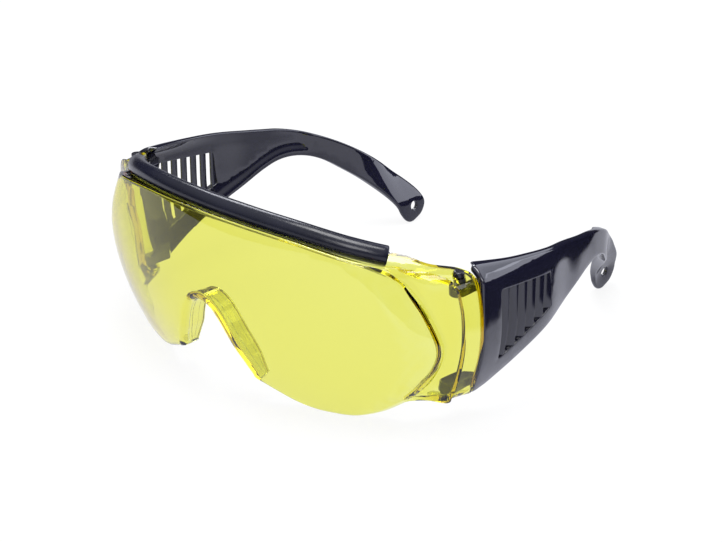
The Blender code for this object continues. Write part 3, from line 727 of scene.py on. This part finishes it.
# Hinges
def hinge_matrix(side, z):
    """Library frame of a hinge: local Z up its axis, origin on the axis at a height."""
    x = HINGE_HALF_SPAN - (UPPER_LUG_Z - z) * sin(HINGE_SPLAY) / cos(HINGE_SPLAY)
    lean = Matrix.Rotation(side * HINGE_SPLAY, 4, "Y")
    return Matrix.Translation(to_row((x, HINGE_BACK, z), side)) @ lean


UPPER_PIN = (UPPER_LUG_Z - PIN_HEIGHT + PIN_ABOVE_LUG, UPPER_LUG_Z + PIN_ABOVE_LUG)
LOWER_PIN = (LOWER_LUG_Z - PIN_BELOW_LUG, LOWER_LUG_Z - PIN_BELOW_LUG + PIN_HEIGHT)
UNDER_LUG = UPPER_LUG_Z - LENS_WALL - LUG_GAP
OVER_LUG = LOWER_LUG_Z + LENS_WALL + LUG_GAP + LOWER_KNUCKLE_RISE
UPPER_KNUCKLE = (UNDER_LUG - KNUCKLE_HEIGHT - UPPER_KNUCKLE_FOOT, UNDER_LUG - UPPER_KNUCKLE_TOP)
LOWER_KNUCKLE = (OVER_LUG, OVER_LUG + KNUCKLE_HEIGHT)


def build_pin(word, level, side, body):
    """Round pin with a rounded head at the outside of the lug."""
    low, high = UPPER_PIN if level == "upper" else LOWER_PIN
    half = (high - low) / 2
    r = PIN_RADIUS
    profile = [(0.0, -half), (r * 0.8, -half), (r, -half + 0.3), (r, half - 0.45),
               (r * 0.97, half - 0.22), (r * 0.88, half - 0.07), (r * 0.7, half),
               (r * 0.35, half - 0.04), (0.0, half - 0.06)]
    if level == "lower":
        profile = [(a, -b) for a, b in profile[::-1]]
    work = bmesh.new()
    frame_at = hinge_matrix(side, (low + high) / 2)
    steps = 40
    rings = []
    for a, b in profile:
        if a == 0.0:
            rings.append([work.verts.new(frame_at @ (Vector((0.0, 0.0, b)) * MM))])
            continue
        turn = [2 * pi * k / steps for k in range(steps)]
        spots = [Vector((a * cos(t), a * sin(t), b)) * MM for t in turn]
        rings.append([work.verts.new(frame_at @ s) for s in spots])
    skin(work, rings[1:-1])
    for tip, ring in ((rings[0][0], rings[1]), (rings[-1][0], rings[-2])):
        for k in range(steps):
            work.faces.new((tip, ring[k], ring[(k + 1) % steps]))
    return finish_mesh(f"{word}_{level}_pin", work, PIN_PAINT, body,
                       f"{word}_{level}_hinge_pin")


def slab(work, outline, low, high, edge, frame_at):
    """Plate with rounded edges from a 2-D outline in millimetres, along local Z."""
    loop = [Vector(p) for p in outline]
    if area(loop) < 0:
        loop.reverse()
    normals = loop_normals(loop)
    arc = quarter_round(edge)
    rows = [(inset, low + depth) for inset, depth in arc]
    rows += [(inset, high - depth) for inset, depth in arc[::-1]]
    rings = []
    for inset, level in rows:
        flat = [p + n * inset for p, n in zip(loop, normals)]
        spots = [Vector((p.x, p.y, level)) * MM for p in flat]
        rings.append([work.verts.new(frame_at @ s) for s in spots])
    skin(work, rings)
    work.faces.new(rings[0])
    work.faces.new(rings[-1])


# Temples
def top_line(u):
    return along(TEMPLE_OUTLINE[7:18], u) * LENS_HEIGHT


def temple_x(y, z):
    """Outer face of a temple, x from the middle plane."""
    u = (y - TEMPLE_FRONT_Y) / TEMPLE_LENGTH
    x = along(TEMPLE_PLAN, u) * LENS_HALF_WIDTH
    x += (along(TIP_PLAN, z / LENS_HEIGHT) * LENS_HALF_WIDTH - x) * fade(u, *TIP_TURN)
    low = max(0.0, TUCK_TOP - z / LENS_HEIGHT)
    x -= TUCK_IN * low * low * (1.0 - fade(u, *TUCK_FADE))
    held = min(u, SHOULDER_END)
    rise = max(0.0, z - (top_line(held) - SHOULDER_DROP)) / SHOULDER_DROP
    roll = SHOULDER_ROLL * along(SHOULDER_PLAN, held)
    return x - roll * min(rise, 1.2) ** 1.6


LOWER_LINE = tuple(reversed(TEMPLE_OUTLINE[35:46]))


def lip_height(u):
    """Top of the lip along the lower edge, inside the shell."""
    return along(LOWER_LINE, min(max(u, 0.03), 0.65)) * LENS_HEIGHT + LIP_HEIGHT


def temple_wall(y, z):
    """Wall along X and the wall square to the face: thin shell, lip below it, solid arm behind."""
    step = SLOPE_STEP
    lean = (temple_x(y + step, z) - temple_x(y - step, z)) / (2 * step)
    tilt = (temple_x(y, z + step) - temple_x(y, z - step)) / (2 * step)
    u = (y - TEMPLE_FRONT_Y) / TEMPLE_LENGTH
    lip = (1.0 - fade(z - lip_height(u), -LIP_FADE, LIP_FADE)) * fade(u, 0.2, 0.3)
    thick = max(lip, fade(u, ARM_START, ARM_START + 0.012))
    wall = SHIELD_WALL + (ARM_WALL - SHIELD_WALL) * thick - TIP_THINNING * fade(u, 0.82, 0.92)
    along_x = wall * min(1.9, sqrt(1.0 + lean * lean + tilt * tilt))
    free = max(temple_x(y, z) - HINGE_HALF_SPAN + 0.1, 0.7)
    relief = (1.0 - fade(y, 8.0, 8.8)) * fade(z, UPPER_LUG_Z - 2.8, UPPER_LUG_Z - 2.0)
    return along_x + (min(along_x, free) - along_x) * relief, wall


def temple_spot(y, z, depth, side):
    """Library position in the temple's wall, depth counted inwards square to the face."""
    along_x, wall = temple_wall(y, z)
    return to_row((temple_x(y, z) - along_x * depth / wall, y, z), side)


def temple_place(u, v):
    return Vector((TEMPLE_FRONT_Y + u * TEMPLE_LENGTH, v * LENS_HEIGHT))


def build_temple(word, side, body):
    work = bmesh.new()
    outline = ring_smooth([temple_place(u, v) for u, v in TEMPLE_OUTLINE], 5)
    window = refined(rounded([temple_place(u, v) for u, v in WINDOW], 0.9, 4), 1.5)
    middle = temple_place(*TIP_HOLE_AT)
    turns = [2 * pi * k / 32 for k in range(32)]
    hole = [middle + Vector((TIP_HOLE_RADIUS * cos(t), TIP_HOLE_RADIUS * sin(t))) for t in turns]
    loops = []
    cuts = ((outline, OUTLINE_EDGE, 1), (window, WINDOW_EDGE, -1), (hole, HOLE_EDGE, -1))
    for loop, edge, into in cuts:
        if area(loop) * into < 0:
            loop.reverse()
        loops.append((loop, loop_normals(loop), edge))
    faces_at = {}
    for number, (loop, normals, edge) in enumerate(loops):
        arc = quarter_round(edge)
        rows = [(inset, depth, False) for inset, depth in arc]
        rows += [(inset, depth, True) for inset, depth in arc[::-1]]
        rings = []
        for inset, depth, from_inside in rows:
            ring = []
            for p, n in zip(loop, normals):
                spot = p + n * inset
                wall = temple_wall(spot.x, spot.y)[1]
                sunk = wall - depth if from_inside else depth
                ring.append(work.verts.new(temple_spot(spot.x, spot.y, sunk, side)))
            rings.append(ring)
        skin(work, rings)
        faces_at[number] = (rings[0], rings[-1], [p + n * edge for p, n in zip(loop, normals)])
    extra = []
    for k in range(70):
        u = 0.2 + 0.006 * k
        y = TEMPLE_FRONT_Y + u * TEMPLE_LENGTH
        extra += [Vector((y, lip_height(u) + z)) for z in LIP_ROWS]
    for k in range(40):
        z = LENS_HEIGHT * (0.48 + 0.2 * k / 39)
        extra += [Vector((TEMPLE_FRONT_Y + (ARM_START + u) * TEMPLE_LENGTH, z)) for u in ARM_ROWS]
    points, faces, found = fill([faces_at[n][2] for n in range(3)], TEMPLE_GRID, extra)
    for which in (0, 1):
        known = {}
        for number in range(3):
            for k, n in enumerate(found[number]):
                known[n] = faces_at[number][which][k]
        for n, p in enumerate(points):
            if n not in known:
                wall = temple_wall(p.x, p.y)[1]
                known[n] = work.verts.new(temple_spot(p.x, p.y, wall * which, side))
        cover(work, faces, known)
    made = finish_mesh(f"{word}_temple_shell", work, TEMPLE_PAINT, body,
                       f"{word}_temple", TEMPLE_SHARP)
    build_slats(word, side, body)
    build_knuckles(word, side, body)
    return made


def window_height(y):
    """Lowest and highest z of the louvre window at y."""
    a, b, c, d = (temple_place(u, v) for u, v in WINDOW)
    top = a.y + (b.y - a.y) * (y - a.x) / (b.x - a.x)
    bottom = d.y + (c.y - d.y) * (y - d.x) / (c.x - d.x)
    return bottom, top


def build_slats(word, side, body):
    """Louvre blades set across the window, thicker towards their outer edge."""
    first = temple_place(*WINDOW[0]).x
    last = temple_place(*WINDOW[2]).x
    pitch = (last - first) / SLAT_COUNT
    run = Vector((sin(SLAT_ANGLE), cos(SLAT_ANGLE)))
    flat = Vector((cos(SLAT_ANGLE), -sin(SLAT_ANGLE)))
    half = SLAT_RUN / 2
    corners = ((half, 0.2), (-half, 0.2), (-half, 0.2 - SLAT_EDGE), (half, 0.2 - SLAT_BACK))
    section = rounded(corners, 0.18, 3)
    work = bmesh.new()
    for k in range(SLAT_COUNT):
        y = first + pitch * (k + 0.62)
        bottom, top = window_height(y)
        steps = 12
        rings = []
        for j in range(steps + 1):
            z = bottom - 0.9 + (top - bottom + 1.8) * j / steps
            x = temple_x(y, z) - SHIELD_WALL / 2
            ring = []
            for a, b in section:
                spot = Vector((x, y)) + run * a + flat * b
                ring.append(work.verts.new(to_row((spot.x, spot.y, z), side)))
            rings.append(ring)
        skin(work, rings)
        work.faces.new(rings[0])
        work.faces.new(rings[-1])
    return finish_mesh(f"{word}_louvre_slats", work, TEMPLE_PAINT, body, None, 60)


def build_knuckles(word, side, body):
    """Hinge arms from the pins back to the inside of the shield."""
    r = KNUCKLE_RADIUS
    turns = [radians(180 + 180 * k / 14) for k in range(15)]
    back = TEMPLE_FRONT_Y - 0.6
    outer = 1.075 * LENS_HALF_WIDTH - HINGE_HALF_SPAN - 0.25
    outline = [(r * cos(t), r * sin(t)) for t in turns]
    outline += [(r, back - TEMPLE_GAP), (r + 0.3, back + 0.6), (outer, back + 1.4)]
    outline += [(outer, back + 5.5), (outer - 2.0, back + 5.5), (-r, back + 0.5)]
    work = bmesh.new()
    for low, high in (UPPER_KNUCKLE, LOWER_KNUCKLE):
        middle = (low + high) / 2
        turned = [(side * u, v) for u, v in outline]
        slab(work, turned, low - middle, high - middle, KNUCKLE_EDGE, hinge_matrix(side, middle))
    return finish_mesh(f"{word}_hinge_arms", work, TEMPLE_PAINT, body, None, 40)


# Brow guard
def top_edge(x):
    """Front top edge of the lens at x."""
    low, high = 0.0, 6.0
    for _ in range(40):
        middle = (low + high) / 2
        if lens_rows(middle)[0].x < x:
            low = middle
        else:
            high = middle
    return lens_rows(low)[0]


def build_brow_guard():
    """Soft bar with a flat underside and rounded ends."""
    count = 97
    line = []
    for k in range(count):
        x = BAR_HALF_LENGTH * (2 * k / (count - 1) - 1)
        edge = top_edge(abs(x))
        back = BAR_SETBACK + BAR_END_SETBACK * (x / BAR_HALF_LENGTH) ** 4
        line.append(Vector((x, edge.y + back, edge.z - SHELF_DROP + BAR_RADIUS - BAR_SEAT)))
    work = bmesh.new()
    around = 40
    rings = []
    spots = [(0, s) for s in (0.86, 0.95, 0.99)] + [(k, 1.0) for k in range(1, count - 1)]
    spots += [(count - 1, s) for s in (0.99, 0.95, 0.86)]
    for k, scale in spots:
        run = (line[min(k + 1, count - 1)] - line[max(k - 1, 0)]).normalized()
        across = Vector((0.0, 0.0, 1.0)).cross(run).normalized()
        up = run.cross(across)
        at = line[k].copy()
        if k in (0, count - 1):
            away = -1 if k == 0 else 1
            at += run * away * (0.0 if scale < 0.9 else -0.16 if scale < 0.97 else -0.42)
        ring = []
        for j in range(around):
            t = 2 * pi * j / around
            high = max(sin(t) * BAR_RADIUS * scale, -(BAR_RADIUS - BAR_SEAT - 0.06))
            wide = across * cos(t) * BAR_RADIUS * scale
            ring.append(work.verts.new(to_row(at + wide + up * high)))
        rings.append(ring)
    skin(work, rings)
    work.faces.new(rings[0])
    work.faces.new(rings[-1])
    return finish_mesh("brow_guard_bar", work, BAR_PAINT, "front", "brow_guard", 50)


build_lens()
build_brow_guard()
for word, side in (("left", 1), ("right", -1)):
    build_temple(word, side, f"{word}_side")
    for level in ("upper", "lower"):
        build_pin(word, level, side, f"{word}_side")


# Stage: pale floor with a painted reflection pattern, world and soft lamps
def maths(tree, operation, *values, clamp=False):
    """Math node fed by numbers or sockets."""
    node = tree.nodes.new("ShaderNodeMath")
    node.operation = operation
    node.use_clamp = clamp
    for socket, value in zip(node.inputs, values):
        if isinstance(value, float):
            socket.default_value = value
        else:
            tree.links.new(value, socket)
    return node.outputs[0]


def blend(tree, share, first, second):
    node = tree.nodes.new("ShaderNodeMixShader")
    tree.links.new(share, node.inputs[0])
    tree.links.new(first, node.inputs[1])
    tree.links.new(second, node.inputs[2])
    return node.outputs[0]


# Where the floor's painted lit patch and painted shade lie in reflections, in metres from the origin
PAINTED_LIT_LEAN = 0.33
PAINTED_LIT_FRONT = 0.03
PAINTED_LIT_FRONT_GAIN = 1.5
PAINTED_LIT_END = 0.121
PAINTED_DARK_START = 0.130
PAINTED_SHADE_START = 0.01
PAINTED_SHADE_END = 0.042
FLOOR_WHITE = 0.88


def floor():
    """White table that keeps the shadow. Shiny surfaces see a painted reflection on it: a painted
    lit patch near the object only, and a painted shade towards the back.
    """
    mesh = bpy.data.meshes.new("floor")
    size = 4.0
    corners = [(-size, -size, 0), (size, -size, 0), (size, size, 0), (-size, size, 0)]
    mesh.from_pydata(corners, [], [(0, 1, 2, 3)])
    made = bpy.data.objects.new("floor", mesh)
    made.location.z = -0.0002
    bpy.context.scene.collection.objects.link(made)
    paint = bpy.data.materials.new("floor_white_and_painted_reflection")
    paint.use_nodes = True
    tree = paint.node_tree
    tree.nodes.clear()
    out = tree.nodes.new("ShaderNodeOutputMaterial")
    diffuse = add(tree, "ShaderNodeBsdfDiffuse", Color=(0.9, 0.9, 0.9, 1.0))
    white = add(tree, "ShaderNodeEmission", Color=(1.0, 1.0, 1.0, 1.0), Strength=1.0)
    path = tree.nodes.new("ShaderNodeLightPath")
    split = tree.nodes.new("ShaderNodeSeparateXYZ")
    tree.links.new(object_place(tree), split.inputs[0])
    x, y = split.outputs["X"], split.outputs["Y"]
    aside = maths(tree, "MULTIPLY_ADD", y, PAINTED_LIT_LEAN, x)
    ahead = maths(tree, "MINIMUM", maths(tree, "ADD", y, PAINTED_LIT_FRONT), 0.0)
    reach = maths(tree, "MULTIPLY_ADD", ahead, PAINTED_LIT_FRONT_GAIN, aside)
    # Painted lit patch: shiny surfaces see the floor bright near the object and dark past its edge.
    near = spread(tree, reach, 1.0, 0.03, PAINTED_LIT_END, PAINTED_DARK_START)
    # Painted shade: the floor's reflection goes darker towards the back.
    between = maths(tree, "SUBTRACT", y, maths(tree, "MAXIMUM", x, 0.0))
    painted_shade = spread(tree, between, 1.0, 0.55, PAINTED_SHADE_START, PAINTED_SHADE_END)
    # Painted reflection: a bluish glow on the floor that only glossy rays see, though the floor is
    # no lamp.
    painted_reflection = add(tree, "ShaderNodeEmission", Color=(0.88, 0.89, 1.0, 1.0))
    tree.links.new(maths(tree, "MULTIPLY", near, painted_shade), painted_reflection.inputs["Strength"])
    through = path.outputs["Is Transmission Ray"]
    direct = maths(tree, "MAXIMUM", path.outputs["Is Camera Ray"], through)
    share = maths(tree, "MULTIPLY", direct, FLOOR_WHITE)
    plain = blend(tree, share, diffuse.outputs[0], white.outputs[0])
    # Glossy rays, but not those through the lens, see the painted reflection instead of the plain
    # floor.
    mirror = maths(tree, "SUBTRACT", path.outputs["Is Glossy Ray"], through, clamp=True)
    painted_reflection_mix = blend(tree, mirror, plain, painted_reflection.outputs[0])
    tree.links.new(painted_reflection_mix, out.inputs["Surface"])
    mesh.materials.append(paint)


def world():
    """White behind the object, a dark room with a pale ceiling for everything else."""
    made = bpy.data.worlds.new("studio")
    bpy.context.scene.world = made
    made.use_nodes = True
    tree = made.node_tree
    tree.nodes.clear()
    out = tree.nodes.new("ShaderNodeOutputWorld")
    path = tree.nodes.new("ShaderNodeLightPath")
    place = tree.nodes.new("ShaderNodeTexCoord")
    pale = tree.nodes.new("ShaderNodeVectorMath")
    pale.operation = "DOT_PRODUCT"
    pale.inputs[1].default_value = (-0.05, -0.3, 1.0)
    tree.links.new(place.outputs["Generated"], pale.inputs[0])
    ramp = tree.nodes.new("ShaderNodeValToRGB")
    ramp.color_ramp.elements[0].position = 0.25
    ramp.color_ramp.elements[0].color = (0.03, 0.03, 0.035, 1.0)
    ramp.color_ramp.elements[1].position = 0.95
    ramp.color_ramp.elements[1].color = (0.75, 0.76, 0.80, 1.0)
    tree.links.new(pale.outputs["Value"], ramp.inputs[0])
    room = tree.nodes.new("ShaderNodeBackground")
    tree.links.new(ramp.outputs[0], room.inputs["Color"])
    white = add(tree, "ShaderNodeBackground", Color=(1.0, 1.0, 1.0, 1.0), Strength=1.0)
    seen = maths(tree, "MAXIMUM", path.outputs["Is Camera Ray"], path.outputs["Is Transmission Ray"])
    tree.links.new(blend(tree, seen, room.outputs[0], white.outputs[0]), out.inputs["Surface"])


def lamp(name, at, to, size, power, colour=(1.0, 1.0, 1.0), shine=1.0):
    data = bpy.data.lights.new(name, "AREA")
    data.shape = "RECTANGLE"
    data.size, data.size_y = size
    data.energy = power
    data.color = colour
    data.specular_factor = shine
    made = bpy.data.objects.new(name, data)
    made.location = at
    made.rotation_euler = (Vector(to) - Vector(at)).to_track_quat("-Z", "Y").to_euler()
    bpy.context.scene.collection.objects.link(made)


floor()
world()
lamp("overhead", (0.0, 0.0, 1.1), (0.0, 0.0, 0.03), (0.6, 0.5), 8.0)
lamp("key", (0.55, -0.95, 0.75), (0.0, 0.0, 0.03), (0.5, 0.5), 4.5, shine=0.2)
lamp("low", (0.72, 0.75, 0.41), (-0.04, 0.06, 0.015), (0.9, 0.4), 2.6, (0.86, 0.88, 1.0))
lamp("rear", (0.12, 0.83, 0.71), (0.0, 0.0, 0.03), (1.1, 0.5), 2.8, (0.86, 0.89, 1.0))
lamp("strip", (-0.62, 0.48, 0.66), (0.0, 0.0, 0.03), (0.3, 0.3), 2.2, (0.92, 0.94, 1.0))


# Camera from the fit to the photo, which is 722 by 542
CAMERA_TURN = radians(43.098)
CAMERA_RISE = radians(24.108)
CAMERA_REACH = 635.0
CAMERA_SHIFT = (24.218, 25.944)
PHOTO_WIDTH = 722
FOCAL_PIXELS = 1991.773
SENSOR_WIDTH = 36.0
CAMERA_FOCUS = FOCAL_PIXELS / PHOTO_WIDTH * SENSOR_WIDTH


def camera():
    a, e = CAMERA_TURN, CAMERA_RISE
    right = Vector((cos(a), sin(a), 0.0))
    back = Vector((sin(a) * cos(e), -cos(a) * cos(e), sin(e)))
    up = back.cross(right)
    at = right * CAMERA_SHIFT[0] + up * CAMERA_SHIFT[1] + back * CAMERA_REACH
    data = bpy.data.cameras.new("camera")
    data.sensor_width = SENSOR_WIDTH
    data.lens = CAMERA_FOCUS
    data.clip_start = 0.01
    made = bpy.data.objects.new("camera", data)
    place = Matrix((right, up, back)).transposed().to_4x4()
    place.translation = Vector((at.x, at.y - CENTRE_Y, at.z)) * MM
    made.matrix_world = place
    bpy.context.scene.collection.objects.link(made)
    bpy.context.scene.camera = made


camera()
bpy.context.scene.view_settings.view_transform = "Standard"
